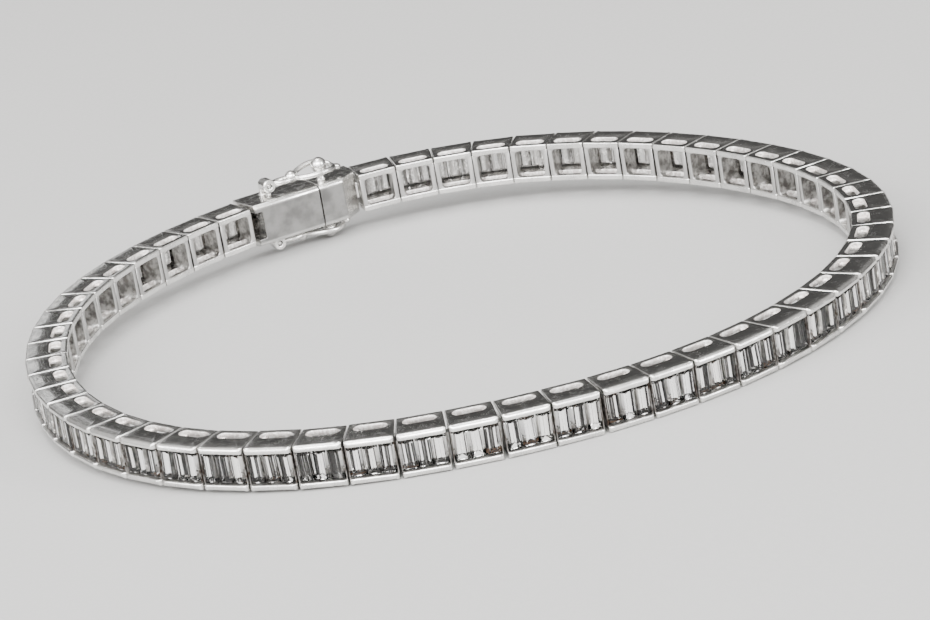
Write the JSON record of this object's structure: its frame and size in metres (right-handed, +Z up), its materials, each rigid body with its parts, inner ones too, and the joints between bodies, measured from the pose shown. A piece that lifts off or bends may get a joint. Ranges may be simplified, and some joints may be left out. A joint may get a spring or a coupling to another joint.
{
  "type": "tennis bracelet",
  "caption": "Line bracelet of short channel links set edge to edge with baguette stones, closed by a box clasp with a figure-eight safety catch on each side.",
  "frame": {"origin": "bottom centre of the bounding box, on the surface the bracelet stands on", "axes": "+Z up, across the band; +X along the loop's longest extent; the clasp is in the -X +Y part of the loop"},
  "size_m": [0.0596, 0.0584, 0.0063],
  "materials": {
    "platinum": "bright polished white precious metal with fine wear scratches",
    "diamond": "colourless step-cut stone, polished facets"
  },
  "bodies": {
    "bracelet": {"link_run_1": "platinum", "stone_run_1": "diamond", "link_run_2": "platinum", "stone_run_2": "diamond", "link_run_3": "platinum", "stone_run_3": "diamond", "link_run_4": "platinum", "stone_run_4": "diamond", "link_run_5": "platinum", "stone_run_5": "diamond", "link_run_6": "platinum", "stone_run_6": "diamond", "link_run_7": "platinum", "stone_run_7": "diamond", "link_run_8": "platinum", "stone_run_8": "diamond", "link_run_9": "platinum", "stone_run_9": "diamond", "clasp_box": "platinum", "clasp_tongue": "platinum"},
    "catch_top": {"safety_catch_top": "platinum"},
    "catch_bottom": {"safety_catch_bottom": "platinum"}
  },
  "joints": [
    {"name": "top_catch_hinge", "type": "hinge", "parent": "bracelet", "child": "catch_top", "pos_m": [-0.01267, 0.02367, 0.00534], "axis": [0.4206, -0.9068, -0.0276], "range_deg": [0, 115]},
    {"name": "bottom_catch_hinge", "type": "hinge", "parent": "bracelet", "child": "catch_bottom", "pos_m": [-0.01271, 0.02379, 0.00085], "axis": [-0.4206, 0.9068, 0.0276], "range_deg": [0, 115]}
  ]
}
